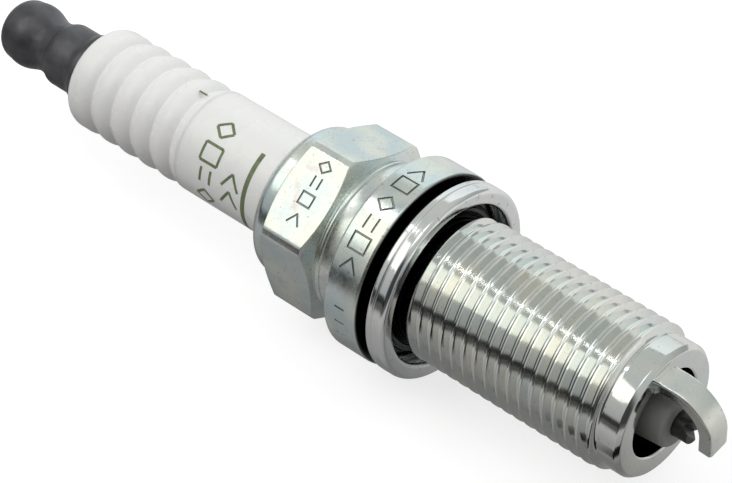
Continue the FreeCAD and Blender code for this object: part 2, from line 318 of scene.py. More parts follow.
def makePlating(name, values, grainScale=900):
    material, tree, shader, position = newMaterial(name, values["coolTint"], 1.0, 0.25)
    turned, alongX, radius = turnedCoordinates(tree, position)
    clouds = grain(tree, position, values["cloudScale"], 4)
    fine = grain(tree, position, values["fineScale"], 3)
    lines = grain(tree, turned, values["turningScale"], 2)
    bloom = grain(tree, position, values["bloomScale"], 3, 0.6)
    tint = blendColours(tree, spread(tree, clouds, 0.40, 0.62, 0, 1),
                        (*values["coolTint"], 1), (*values["warmTint"], 1))
    tint = blendColours(tree, spread(tree, bloom, 0.60, 0.72, 0, values["bloomShare"]),
                        tint, (*values["bloomTint"], 1))
    specks = spread(tree, grain(tree, position, grainScale * 3, 2), 0.66, 0.72, 0, values["speckShare"])
    tint = blendColours(tree, specks, tint, (*values["speckTint"], 1))
    # painted shade: the colour darkens towards the closed gaps and the bore
    for axis, low, high, first, last in values.get("paintedShades", ()):
        along = {"x": alongX, "r": radius}[axis]
        paintedShade = spread(tree, along, low * mm, high * mm, first, last)
        tint = blendColours(tree, 1.0, tint, paintedShade, "MULTIPLY")
    tree.links.new(tint, shader.inputs["Base Color"])
    mixed = maths(tree, "ADD", maths(tree, "MULTIPLY", clouds, 0.6), maths(tree, "MULTIPLY", fine, 0.4))
    tree.links.new(spread(tree, mixed, 0.38, 0.64, values["smooth"], values["rough"]),
                   shader.inputs["Roughness"])
    addBump(tree, shader, [(lines, 0.5, values["turningDepth"]), (fine, 0.6, values["pitDepth"]),
                           (grain(tree, position, grainScale, 4), 0.5, values["pitDepth"] * 1.5)])
    return material


# painted shade in the closed gaps and the bore, by axis ("x" or "r"), from, to, and the colour's share at
# both ends; on the head it darkens the flange's front face under the gasket
platedHead = makePlating("platedHead", dict(plating, paintedShades=[("x", -0.14, -0.04, 1.0, 0.06)]))
# painted shade on the neck under the gasket and inside the bore
platedThread = makePlating("platedThread", dict(
    plating, coolTint=(0.74, 0.77, 0.75), warmTint=(0.82, 0.81, 0.76), bloomShare=0.25,
    smooth=0.07, rough=0.14, pitDepth=0.0014, turningDepth=0.001,
    paintedShades=[("x", 2.6, 2.95, 0.10, 1.0), ("r", 4.23, 4.26, 0.03, 1.0)]), 1400)
# painted shade on the gasket's rear face and inside its curl
gasketPlate = makePlating("gasketPlate", dict(
    plating, coolTint=(0.78, 0.80, 0.81), warmTint=(0.85, 0.85, 0.83), bloomShare=0.15,
    smooth=0.07, rough=0.15, pitDepth=0.003,
    paintedShades=[("x", 1.0, 1.06, 0.06, 1.0), ("r", 7.75, 8.1, 0.05, 1.0)]), 500)
strapMetal = makePlating("strapMetal", dict(
    plating, coolTint=(0.74, 0.79, 0.77), warmTint=(0.86, 0.87, 0.79), bloomShare=0.1,
    smooth=0.20, rough=0.36, pitDepth=0.016), 700)
# painted shade: the walls of the stamped lines take this darker plating, so the marks read as dark recesses
stampPaintedShade = makePlating("stampPaintedShade", dict(
    plating, coolTint=(0.30, 0.33, 0.31), warmTint=(0.42, 0.42, 0.38), smooth=0.4, rough=0.6), 900)
studSteel = makePlating("studSteel", dict(
    plating, coolTint=(0.62, 0.62, 0.60), warmTint=(0.70, 0.69, 0.64), bloomShare=0.0), 900)
ringSteel = makePlating("ringSteel", dict(
    plating, coolTint=(0.45, 0.45, 0.45), warmTint=(0.55, 0.53, 0.50), bloomShare=0.0, rough=0.5), 900)


glaze = {
    "glazedTints": ((0.885, 0.868, 0.862), (0.905, 0.893, 0.885)),
    # painted shade: the nose's grey stands in for the shade inside the shell's bore
    "noseShadeTints": ((0.26, 0.255, 0.24), (0.37, 0.36, 0.34)),
    "firedFrom": 4,
    "firedTo": 6,
    "smooth": 0.24,
    "rough": 0.30,
    "firedRough": 0.25,
    "depth": 0.3,
    "waveDepth": 0.008,
    "grainDepth": 0.001,
}


def makeGlaze(values):
    # white glaze on the barrel, bare fired ceramic on the nose; the nose's grey colour is painted shade of
    # the shell's bore
    material, tree, shader, position = newMaterial("whiteGlaze", values["glazedTints"][0])
    glazed, shadedNose = [blendColours(tree, grain(tree, position, scale, detail), (*first, 1), (*second, 1))
                     for scale, detail, (first, second) in ((120, 2, values["glazedTints"]),
                                                            (700, 4, values["noseShadeTints"]))]
    alongX = axesOf(tree, position)["X"]
    atNose = spread(tree, alongX, values["firedFrom"] * mm, values["firedTo"] * mm, 0, 1)
    tree.links.new(blendColours(tree, atNose, glazed, shadedNose), shader.inputs["Base Color"])
    gloss = spread(tree, grain(tree, position, 300, 2), 0.35, 0.65, values["smooth"], values["rough"])
    tree.links.new(maths(tree, "ADD", gloss, maths(tree, "MULTIPLY", atNose, values["firedRough"])),
                   shader.inputs["Roughness"])
    shader.inputs["Subsurface Weight"].default_value = 0.15
    shader.inputs["Subsurface Radius"].default_value = (1.0, 0.75, 0.6)
    shader.inputs["Subsurface Scale"].default_value = values["depth"] * mm
    addBump(tree, shader, [(grain(tree, position, 260, 2), 0.2, values["waveDepth"]),
                           (grain(tree, position, 3000, 2), 0.2, values["grainDepth"])])
    return material


def makeGraded(name, first, second, metallic, smooth, rough, scale, depth):
    # a finish that varies softly between two colours, with a fine grain
    material, tree, shader, position = newMaterial(name, first, metallic, rough)
    clouds = grain(tree, position, scale, 4)
    fine = grain(tree, position, scale * 6, 3)
    tree.links.new(blendColours(tree, spread(tree, clouds, 0.35, 0.65, 0, 1), (*first, 1), (*second, 1)),
                   shader.inputs["Base Color"])
    tree.links.new(spread(tree, fine, 0.35, 0.65, smooth, rough), shader.inputs["Roughness"])
    addBump(tree, shader, [(clouds, 0.4, depth * 2), (fine, 0.5, depth)])
    return material


whiteGlaze = makeGlaze(glaze)
# name, both colours, metallic, smooth and rough, grain scale, grain depth
blackSteel = makeGraded("blackSteel", (0.070, 0.067, 0.076), (0.125, 0.125, 0.134), 0.55, 0.30, 0.42,
                        300, 0.008)
printInk = makeGraded("printInk", (0.12, 0.155, 0.07), (0.19, 0.235, 0.12), 0.0, 0.35, 0.5, 1500, 0.004)
nickelDark = makeGraded("nickelDark", (0.035, 0.034, 0.032), (0.085, 0.082, 0.078), 0.7, 0.32, 0.55,
                        1300, 0.015)
copperCore = makeGraded("copperCore", (0.72, 0.36, 0.24), (0.80, 0.46, 0.32), 1.0, 0.25, 0.4, 900, 0.01)
sealGlass = makeGraded("sealGlass", (0.10, 0.09, 0.085), (0.20, 0.17, 0.15), 0.2, 0.3, 0.6, 1500, 0.02)
resistorFill = makeGraded("resistorFill", (0.05, 0.048, 0.045), (0.11, 0.105, 0.10), 0.0, 0.5, 0.8,
                          1800, 0.02)
talcPowder = makeGraded("talcPowder", (0.80, 0.80, 0.77), (0.88, 0.87, 0.84), 0.0, 0.7, 0.95, 2600, 0.02)
print("stage materials done")


# camera, floor and light
cameraPlace = {
    "azimuth": 45.595,
    "elevation": 45.142,
    "roll": -4.789,
    "aim": (-6.876, -0.499, -0.347),
    "distance": 265.63,
    "lens": 146.55,
}

studio = {
    "floorZ": -9.5,
    "floorSize": 3000,
    "floorColour": (0.42, 0.42, 0.42),
    "floorGlow": 0.72,
    "skyLow": (0.46, 0.48, 0.49),
    "skyHigh": (0.66, 0.68, 0.66),
    "skyStrength": 0.85,
    "skyLowTo": 0.05,
    "skyHighFrom": 0.75,
    "roomAzimuth": 25,
    "roomElevation": 14,
    "roomFrom": 46,
    "roomTo": 27,
    "roomShare": 0.12,
    "cardSize": 800,
}

# name: azimuth and elevation of its place, distance, width, height, brightness, colour
# metal doesn't mirror the fills
softboxes = {
    "key": (-45, 47, 360, 250, 150, 0.90, (1.0, 0.99, 0.88)),
    "top": (30, 80, 380, 240, 160, 0.9, (1.0, 1.0, 1.0)),
    "nose": (105, 6, 320, 270, 90, 0.36, (1.0, 0.98, 0.88)),
    "rear": (207, 21, 420, 420, 320, 0.47, (0.90, 0.99, 1.0)),
    "spark": (-80, 60, 330, 24, 24, 16.0, (1.0, 1.0, 1.0)),
    "fillKey": (-45, 50, 360, 260, 200, 1.5, (1.0, 1.0, 1.0)),
    "fillLow": (-15, 3, 360, 300, 120, 0.5, (1.0, 1.0, 1.0)),
    "fillTop": (150, 60, 400, 300, 300, 1.0, (1.0, 1.0, 1.0)),
}

# dark line between floor and sky, on the side that the thread's lower half mirrors
horizon = {
    "height": 0.015,
    "halfWidth": 0.10,
    "edge": 0.035,
    "azimuth": -33,
    "from": 40,
    "to": 28,
    "share": 0.06,
}

# painted light and shade of the table, glowing from a card for the metal to mirror: brightness against the
# distance from the plug's axis, along Y
paintedTableLevels = [(-300, 0.10), (-85, 0.09), (-62, 0.40), (-48, 0.46), (-34, 0.42), (-20, 0.34),
              (-12, 0.31), (-9, 0.20), (-6, 0.20), (0, 0.33), (10, 0.56), (45, 0.80)]

# a painted shadow strip on that card, in front of the firing end
paintedShadowStrip = {
    "atAxisX": -12.4,
    "slope": -0.09,
    "halfWidth": 3.0,
    "edge": 0.8,
    "from": 16,
    "to": 24,
    "share": 0.02,
}


def awayFrom(azimuth, elevation):
    # azimuth 0 lies towards -Y, 90 towards +X
    a, e = math.radians(azimuth), math.radians(elevation)
    return Vector((math.sin(a) * math.cos(e), -math.cos(a) * math.cos(e), math.sin(e)))


def addCamera(values):
    back = awayFrom(values["azimuth"], values["elevation"])
    camera = bpy.data.objects.new("camera", bpy.data.cameras.new("camera"))
    camera.data.lens = values["lens"]
    camera.data.sensor_width = 36
    camera.data.clip_start = 0.01
    camera.data.clip_end = 10
    roll = Matrix.Rotation(math.radians(values["roll"]), 3, "Z")
    turn = (-back).to_track_quat("-Z", "Y").to_matrix() @ roll
    moved = Matrix.Translation((Vector(values["aim"]) + back * values["distance"]) * mm)
    camera.matrix_world = moved @ turn.to_4x4()
    scene.collection.objects.link(camera)
    scene.camera = camera


def levelPlane(name, size, level, material):
    half = size / 2 * mm
    mesh = bpy.data.meshes.new(name)
    square = ((-half, -half), (half, -half), (half, half), (-half, half))
    mesh.from_pydata([(x, y, level * mm) for x, y in square], [], [(0, 1, 2, 3)])
    plane = newPiece(name, mesh, material)
    return plane


def addSky(values, line):
    # a little darker near the horizon than overhead, so that round metal shows soft bands
    world = bpy.data.worlds.new("studio")
    world.use_nodes = True
    scene.world = world
    tree = world.node_tree
    direction = tree.nodes.new("ShaderNodeTexCoord").outputs["Generated"]
    height = axesOf(tree, direction)["Z"]
    overhead = spread(tree, height, values["skyLowTo"], values["skyHighFrom"], 0.0, 1.0, True)
    clearSky = blendColours(tree, overhead, (*values["skyLow"], 1), (*values["skyHigh"], 1))

    def near(azimuth, elevation, outside, inside):
        # 0 to 1 between two angles from a direction
        towards = addNode(tree, "ShaderNodeVectorMath", {"operation": "DOT_PRODUCT"})
        tree.links.new(direction, towards.inputs[0])
        towards.inputs[1].default_value = awayFrom(azimuth, elevation)
        return spread(tree, towards.outputs["Value"], math.cos(math.radians(outside)),
                      math.cos(math.radians(inside)), 0.0, 1.0, True)

    room = near(values["roomAzimuth"], values["roomElevation"], values["roomFrom"], values["roomTo"])
    fromLine = maths(tree, "ABSOLUTE", maths(tree, "SUBTRACT", height, line["height"]))
    dark = maths(tree, "MULTIPLY", softStrip(tree, fromLine, line["halfWidth"], line["edge"]),
                 near(line["azimuth"], 0, line["from"], line["to"]))
    shaded = maths(tree, "MULTIPLY", dimmed(tree, room, values["roomShare"]),
                   dimmed(tree, dark, line["share"]))
    background = tree.nodes["Background"]
    tree.links.new(blendColours(tree, 1.0, clearSky, shaded, "MULTIPLY"), background.inputs["Color"])
    background.inputs["Strength"].default_value = values["skyStrength"]


def addFloor(values):
    # the floor that the camera sees; metal mirrors the card just below it instead
    finish, _, shader, _ = newMaterial("paleFloor", values["floorColour"], 0.0, 0.9)
    shader.inputs["Emission Color"].default_value = (1, 1, 1, 1)
    shader.inputs["Emission Strength"].default_value = values["floorGlow"]
    floor = levelPlane("floor", values["floorSize"], values["floorZ"], finish)
    floor.visible_glossy = floor.visible_diffuse = floor.visible_transmission = False


def addCard(values, steps, dark):
    # a card that glows with painted light and shade of the table, unseen by the camera but mirrored and
    # lighting the plug
    finish, tree, shader, position = newMaterial("bounceCard", (0, 0, 0), 0.0, 1.0)
    shader.inputs["Specular IOR Level"].default_value = 0.0
    axes = axesOf(tree, position)
    alongX, alongY = axes["X"], axes["Y"]
    ramp = tree.nodes.new("ShaderNodeValToRGB")
    (low, first), (high, last) = steps[0], steps[-1]
    tree.links.new(spread(tree, alongY, low * mm, high * mm, 0, 1), ramp.inputs[0])
    levels = ramp.color_ramp.elements
    levels[0].color = (first, first, first, 1)
    levels[1].color = (last, last, last, 1)
    for y, level in steps[1:-1]:
        levels.new((y - low) / (high - low)).color = (level, level, level, 1)
    # painted shadow: the strip darkens the card's glow in front of the firing end
    middle = maths(tree, "ADD", maths(tree, "MULTIPLY", alongX, dark["slope"]), dark["atAxisX"] * mm)
    aside = maths(tree, "ABSOLUTE", maths(tree, "SUBTRACT", alongY, middle))
    across = softStrip(tree, aside, dark["halfWidth"] * mm, dark["edge"] * mm)
    along = spread(tree, alongX, dark["from"] * mm, dark["to"] * mm, 0, 1, True)
    shaded = dimmed(tree, maths(tree, "MULTIPLY", across, along), dark["share"])
    tree.links.new(blendColours(tree, 1.0, ramp.outputs[0], shaded, "MULTIPLY"),
                   shader.inputs["Emission Color"])
    shader.inputs["Emission Strength"].default_value = 1.0
    card = levelPlane("bounceCard", values["cardSize"], values["floorZ"] - 0.1, finish)
    card.visible_camera = False


def addSoftbox(name, azimuth, elevation, distance, width, height, brightness, colour):
    light = bpy.data.lights.new(name, "AREA")
    light.shape = "RECTANGLE"
    light.size = width * mm
    light.size_y = height * mm
    light.energy = brightness * math.pi * light.size * light.size_y
    light.color = colour
    lamp = bpy.data.objects.new(name, light)
    away = awayFrom(azimuth, elevation)
    lamp.matrix_world = (Matrix.Translation(away * distance * mm)
                         @ (-away).to_track_quat("-Z", "Y").to_matrix().to_4x4())
    lamp.visible_camera = False
    lamp.visible_glossy = not name.startswith("fill")
    scene.collection.objects.link(lamp)


addCamera(cameraPlace)
addSky(studio, horizon)
addFloor(studio)
addCard(studio, paintedTableLevels, paintedShadowStrip)
for lampName, lampSetting in softboxes.items():
    addSoftbox(lampName, *lampSetting)
scene.view_settings.view_transform = "Standard"
print("stage camera and studio done")


# shell head: crimp, hexagon, heat-shrink groove and seat flange
head = {
    "columns": 288,
    "crimpEnd": -15.1,
    "crimp": [(0.9, 5.12), (0.25, 5.12), (0.55, 6.95, 0.02, 6.05), (1.45, 7.4, 0.88, 7.28)],
    "crimpInside": (0.9, 5.14, 1.2, 5.72),
    "collarRadius": 7.4,
    "boreRadius": 6.0,
    "boreRear": -13.15,
    "boreFront": -2.0,
    "stemBoreRadius": 4.85,
    "stemBoreRear": -0.85,
    "neckRadius": 6.2,
    "hexRear": -12.9,
    "hexFront": -6.75,
    "hexApothem": 7.95,
    "hexCornerRound": 0.8,
    "hexCornerRadius": 8.95,
    "hexTurn": 5.0,
    "rearSlope": 30,
    "frontSlope": 27,
    "coneShares": (0.0, 0.3, 0.6, 0.8),
    "edgeSoftness": 0.05,
    "edgeSteps": (-0.04, -0.02, 0.0, 0.02, 0.04, 0.08),
    "flatShares": (0.1, 0.25, 0.4, 0.5, 0.6, 0.75, 0.9),
    "beadRadius": 0.32,
    "grooveRadius": 7.25,
    "grooveRound": 0.4,
    "flangeRear": -3.8,
    "flangeRadius": 9.5,
    "flangeEdge": 0.3,
    "flangeRows": (-2.9, -1.9, -0.9),
}


def hexRadius(degrees, values):
    # distance from the axis to the rounded hexagon
    fromFlat = (degrees - values["hexTurn"]) % 60 - 30
    apothem, rounding = values["hexApothem"], values["hexCornerRound"]
    tangent = (apothem - rounding) * math.tan(math.radians(30)) / apothem
    if abs(math.tan(math.radians(fromFlat))) <= tangent:
        return min(apothem / math.cos(math.radians(fromFlat)), values["hexCornerRadius"])
    centre = (apothem - rounding) / math.cos(math.radians(30))
    aside = math.radians(30 - abs(fromFlat))
    far = centre * math.cos(aside) + math.sqrt(rounding ** 2 - (centre * math.sin(aside)) ** 2)
    return min(far, values["hexCornerRadius"])


def softMinimum(a, b, softness):
    # the smaller of two radii, with the edge between them rounded
    mix = max(softness * 2 - abs(a - b), 0) / (softness * 2)
    return min(a, b) - mix * mix * softness / 2


def hexagonRows(values):
    columns = [hexRadius(360 * i / values["columns"], values) for i in range(values["columns"])]
    collar, soft = values["collarRadius"], values["edgeSoftness"]
    rear, front = values["hexRear"], values["hexFront"]
    rearRun = math.tan(math.radians(values["rearSlope"]))
    frontRun = math.tan(math.radians(values["frontSlope"]))

    def cell(x, flat):
        cone = collar + min((x - rear) / rearRun, (front - x) / frontRun)
        return (x, softMinimum(flat, cone, soft))

    def rearEdge(flat):
        return rear + (flat - collar) * rearRun

    def frontEdge(flat):
        return front - (flat - collar) * frontRun

    # rows crowd beside the edges between the cones and the flats
    cones, steps, reach = values["coneShares"], values["edgeSteps"], values["edgeSteps"][-1]
    rows = [[cell(rear + (flat - collar) * rearRun * share, flat) for flat in columns] for share in cones]
    rows += [[cell(rearEdge(flat) + step, flat) for flat in columns] for step in steps]
    rows += [[cell((1 - share) * (rearEdge(flat) + reach) + share * (frontEdge(flat) - reach), flat)
              for flat in columns] for share in values["flatShares"]]
    rows += [[cell(frontEdge(flat) - step, flat) for flat in columns] for step in reversed(steps)]
    rows += [[cell(front - (flat - collar) * frontRun * share, flat) for flat in columns]
             for share in reversed(cones)]
    return rows


def headRows(values):
    end, collar = values["crimpEnd"], values["collarRadius"]
    bead, groove, fillet = values["beadRadius"], values["grooveRadius"], values["grooveRound"]
    front, flange, rim = values["hexFront"], values["flangeRear"], values["flangeRadius"]
    edge, middle = values["flangeEdge"], values["flangeEdge"] * 0.3
    bore, stemBore = values["boreRadius"], values["stemBoreRadius"]

    def fromEnd(step):
        # moves a step's one or two x from the crimp's end into place
        return tuple(end + size if i % 2 == 0 else size for i, size in enumerate(step))

    rearLine = outline([fromEnd(step) for step in values["crimp"]])
    frontLine = outline([
        (front + 0.03, collar), (front + 2 * bead, collar, front + bead, collar + 0.2),
        (front + 0.95, groove), (flange - fillet, groove),
        (flange, groove + fillet, flange - fillet * 0.3, groove + fillet * 0.3),
        (flange, rim - edge), (flange + edge, rim, flange + middle, rim - middle),
        (flange + edge + 0.05, rim), *[(x, rim) for x in values["flangeRows"]], (-edge - 0.05, rim),
        (-edge, rim), (0, rim - edge, -middle, rim - middle), (0, values["neckRadius"]), (0, stemBore),
        (values["stemBoreRear"], stemBore), (values["boreFront"], bore), (values["boreRear"], bore),
        fromEnd(values["crimpInside"])])
    return rearLine, frontLine[:-1]


# stamped marks: plain squares, diamonds and chevrons, drawn in a cell one unit wide and high
markShapes = {
    "square": [((-0.42, -0.5), (0.42, -0.5)), ((0.42, -0.5), (0.42, 0.5)), ((0.42, 0.5), (-0.42, 0.5)),
               ((-0.42, 0.5), (-0.42, -0.5))],
    "diamond": [((0.0, -0.5), (0.42, 0.0)), ((0.42, 0.0), (0.0, 0.5)), ((0.0, 0.5), (-0.42, 0.0)),
                ((-0.42, 0.0), (0.0, -0.5))],
    "chevron": [((-0.38, -0.46), (0.30, 0.0)), ((0.30, 0.0), (-0.38, 0.46))],
    "bars": [((-0.35, -0.28), (0.35, -0.28)), ((-0.35, 0.28), (0.35, 0.28))],
    "dash": [((0.0, -0.5), (0.0, 0.5))],
}

stamps = {
    "lineWidth": 0.22,
    "depth": 0.10,
    "hexMarks": [("diamond", 3.1), ("bars", 1.55), ("square", -0.15), ("chevron", -2.05)],
    "hexX": -9.6,
    "hexHeight": 1.35,
    "hexAngle": 35.0,
    "flangeMarks": [("chevron", -11), ("square", 1), ("diamond", 16), ("bars", 29), ("square", 41),
                    ("chevron", 53)],
    "flangeX": -1.85,
    "flangeHeight": 1.804,
    "flangeDashes": [80, 90, 100],
    "dashHeight": 0.9,
}


def strokeBox(work, centre, along, outward, length, values):
    # a small block that sinks one stamped line into the surface
    side = outward.cross(along).normalized()
    half = length / 2 + values["lineWidth"] * 0.4
    width, depth = values["lineWidth"] / 2, values["depth"]
    corners = []
    for u, v, w in ((-1, -1, -1), (1, -1, -1), (1, 1, -1), (-1, 1, -1),
                    (-1, -1, 1), (1, -1, 1), (1, 1, 1), (-1, 1, 1)):
        taper = 0.6 if w < 0 else 1.25  # narrower at the bottom of the line
        point = centre + (along * u * half + side * v * width * taper + outward * w * depth) * mm
        corners.append(work.verts.new(point))
    for face in ((3, 2, 1, 0), (4, 5, 6, 7), (0, 1, 5, 4), (1, 2, 6, 5), (2, 3, 7, 6), (3, 0, 4, 7)):
        work.faces.new([corners[i] for i in face])


def addMark(work, shape, size, toPoint, values):
    # toPoint gives (point, outward) for a place in the mark's own plane
    for start, end in markShapes[shape]:
        a, normalA = toPoint(start[0] * size, start[1] * size)
        b, normalB = toPoint(end[0] * size, end[1] * size)
        strokeBox(work, (a + b) / 2, (b - a).normalized(), (normalA + normalB).normalized(),
                  (b - a).length / mm, values)


def stampTool(values):
    work = bmesh.new()
    outward = place(0, 1, values["hexAngle"]).normalized()
    around = Vector((1, 0, 0)).cross(outward)
    for shape, offset in values["hexMarks"]:
        addMark(work, shape, values["hexHeight"], lambda u, v: (
            Vector((values["hexX"] + v, 0, 0)) * mm + outward * head["hexApothem"] * mm
            - around * (offset + u) * mm, outward), values)

    def onFlange(degrees):
        def point(u, v):
            angle = degrees - math.degrees(u / head["flangeRadius"])
            outside = place(0, 1, angle).normalized()
            return place(values["flangeX"] + v, head["flangeRadius"], angle), outside
        return point

    for shape, degrees in values["flangeMarks"]:
        addMark(work, shape, values["flangeHeight"], onFlange(degrees), values)
    for degrees in values["flangeDashes"]:
        addMark(work, "dash", values["dashHeight"], onFlange(degrees), values)
    return newPiece("stampTool", toMesh(work, bpy.data.meshes.new("stampTool")), stampPaintedShade)


def buildHead(values):
    rearLine, frontLine = headRows(values)
    mesh = rowsToMesh("shellHead", rearLine + hexagonRows(values) + frontLine, values["columns"])
    piece = newPiece("shellHead", mesh, platedHead)
    tool = stampTool(stamps)
    for part in (piece, tool):
        part.data.transform(Matrix.Scale(1 / mm, 4))  # metres are too small for the solver
    cut = piece.modifiers.new("stamps", "BOOLEAN")
    cut.object = tool
    cut.operation = "DIFFERENCE"
    cut.solver = "EXACT"
    cut.use_self = True
    # the cut walls take the tool's darker plating, which is painted shade
    cut.material_mode = "TRANSFER"
    piece = settle(piece, 30, outward=False)
    piece.data.transform(Matrix.Scale(mm, 4))
    bpy.data.objects.remove(tool)
    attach(piece, "plug")
    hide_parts("metal_shell")


buildHead(head)
print("stage shell head done")


# threads: one Geometry Nodes tree rolls the shell's thread and the stud's
def threadTree():
    # the grid's rows follow the helix, so that crests and roots stay sharp
    # both ends are clamped to a plane, and the ridge runs out into the plain radius there
    tree, given, result = newTree("rollThread", [
        ("Columns", "Int"), ("Rows per turn", "Int"), ("Turns", "Int"), ("Crest radius", "Float"),
        ("Depth", "Float"), ("Pitch", "Float"), ("Crest offset", "Float"), ("Start", "Float"),
        ("End", "Float"), ("Start radius", "Float"), ("End radius", "Float"), ("Run out", "Float"),
        ("Finish", "Material")])
    start, end, pitch, depth = (given[name] for name in ("Start", "End", "Pitch", "Depth"))

    def calc(operation, *values):
        return maths(tree, operation, *values)

    gridRows = calc("ADD", calc("MULTIPLY", given["Rows per turn"], given["Turns"]), 1)
    grid = addNode(tree, "GeometryNodeMeshGrid", None, Size_X=1.0, Size_Y=1.0,
                   Vertices_X=calc("ADD", given["Columns"], 1), Vertices_Y=gridRows)
    flat = ownPlace(tree)
    column = calc("ADD", flat["X"], 0.5)
    turns = calc("MULTIPLY", calc("ADD", flat["Y"], 0.5), given["Turns"])
    behind = calc("FLOOR", calc("DIVIDE", calc("SUBTRACT", start, given["Crest offset"]), pitch))
    first = calc("ADD", given["Crest offset"], calc("MULTIPLY", calc("SUBTRACT", behind, 1.0), pitch))
    freeX = calc("ADD", first, calc("MULTIPLY", calc("ADD", turns, column), pitch))
    x = calc("MINIMUM", calc("MAXIMUM", freeX, start), end)
    fromCrest = calc("ABSOLUTE", calc("SUBTRACT", calc("FRACT", calc("ADD", turns, 0.5)), 0.5))
    height = spread(tree, fromCrest, 0.0625, 0.39, 1.0, 0.0)  # crest flat and flank, in pitches
    rise = spread(tree, x, start, calc("ADD", start, given["Run out"]), 0.0, 1.0, True)
    fall = spread(tree, x, calc("SUBTRACT", end, given["Run out"]), end, 1.0, 0.0, True)
    root = calc("SUBTRACT", given["Crest radius"], depth)
    atStart = calc("MULTIPLY", calc("SUBTRACT", given["Start radius"], root), calc("SUBTRACT", 1.0, rise))
    atEnd = calc("MULTIPLY", calc("SUBTRACT", given["End radius"], root), calc("SUBTRACT", 1.0, fall))
    ridge = calc("MULTIPLY", calc("MULTIPLY", height, depth), calc("MULTIPLY", rise, fall))
    radius = calc("ADD", calc("ADD", root, ridge), calc("ADD", atStart, atEnd))
    angle = calc("MULTIPLY", column, 2 * math.pi)
    joined = tree.nodes.new("GeometryNodeJoinGeometry")
    tree.links.new(roundTheAxis(tree, grid.outputs["Mesh"], x, radius, angle), joined.inputs[0])
    tree.links.new(given["Geometry"], joined.inputs[0])
    welded = addNode(tree, "GeometryNodeMergeByDistance", None, Geometry=joined.outputs[0],
                     Distance=0.0015 * mm)
    endTree(tree, welded.outputs[0], given["Finish"], result)
    return tree


rollThread = threadTree()

shellThread = {
    "Columns": 240,
    "Rows per turn": 16,
    "Turns": 19,
    "Crest radius": 6.93,
    "Depth": 0.68,
    "Pitch": 1.25,
    "Crest offset": 0.99,
    "Start": 2.85,
    "End": 24.35,
    "Start radius": 6.2,
    "End radius": 6.35,
    "Run out": 0.75,
}
firingEnd = {
    "end": 26.5,
    "endFaceRadius": 6.0,
    "endChamfer": 0.45,
    "fireBoreRadius": 4.22,
    "boreChamfer": 0.15,
    "stemBoreRadius": 4.85,
    "ledge": 9.4,
    "ledgeSlope": 30,
    "edgeRound": 0.09,
}


def rollThreadOn(name, steps, thread, finish, smoothAngle):
    # steps is the outline of everything but the thread, from the thread's end round to its start
    mesh = rowsToMesh(name, steps, thread["Columns"], closed=False)
    piece = newPiece(name, mesh, finish)
    sizes = {key: value * mm if isinstance(value, float) else value for key, value in thread.items()}
    addTree(piece, rollThread, dict(sizes, Finish=finish))
    return settle(piece, smoothAngle)


def buildShellThread(thread, values):
    end, fire, chamfer = values["end"], values["fireBoreRadius"], values["boreChamfer"]
    ledge, stemBore = values["ledge"], values["stemBoreRadius"]
    ledgeRun = (stemBore - fire) / math.tan(math.radians(values["ledgeSlope"]))
    loop = [(thread["End"], thread["End radius"]), (end - values["endChamfer"], thread["End radius"]),
            (end, values["endFaceRadius"]), (end, fire + chamfer), (end - chamfer, fire),
            (ledge + ledgeRun, fire), (ledge, stemBore), (0, stemBore), (0, thread["Start radius"]),
            (thread["Start"], thread["Start radius"])]
    softened = soften(loop, values["edgeRound"])
    steps = [loop[0]] + [p for p in softened[1:-1] if p not in (loop[0], loop[-1])] + [loop[-1]]
    piece = rollThreadOn("shellThread", steps, thread, platedThread, 26)
    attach(piece, "plug")
    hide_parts("metal_shell")


buildShellThread(shellThread, firingEnd)
print("stage shell thread done")

studThread = {
    "Columns": 72,
    "Rows per turn": 12,
    "Turns": 12,
    "Crest radius": 1.95,
    "Depth": 0.33,
    "Pitch": 0.7,
    "Crest offset": 0.2,
    "Start": -49.2,
    "End": -42.0,
    "Start radius": 1.5,
    "End radius": 1.62,
    "Run out": 0.35,
}
stud = {
    "top": -49.6,
    "topRadius": 1.3,
    "collar": -41.2,
    "collarRadius": 2.3,
    "collarHeight": 0.85,
    "stemRadius": 1.5,
    "knurls": 5,
    "knurlPitch": 0.55,
    "knurlFrom": 2.9,
    "knurl": [(0.0, 1.2), (0.22, 1.4), (0.33, 1.4)],
    "end": -8.6,
}


def buildStud(thread, values):
    collar, end, stem = values["collar"], values["end"], values["stemRadius"]
    under = collar + values["collarHeight"]
    steps = [(thread["End"], thread["End radius"]), (collar, thread["End radius"]),
             (collar, values["collarRadius"]), (under, values["collarRadius"]), (under, stem),
             (end - values["knurlFrom"] - 0.3, stem)]
    for ridge in range(values["knurls"]):
        x = end - values["knurlFrom"] + ridge * values["knurlPitch"]
        steps += [(x + along, radius) for along, radius in values["knurl"]]
    steps += [(end - 0.12, 1.1), (end, 1.0), (end, 0.0), (values["top"], 0.0),
              (values["top"], values["topRadius"]), (thread["Start"] - 0.05, thread["Start radius"]),
              (thread["Start"], thread["Start radius"])]
    piece = rollThreadOn("terminalStud", steps, thread, studSteel, 30)
    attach(piece, "plug")
    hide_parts("terminal_stud")


buildStud(studThread, stud)
print("stage stud done")


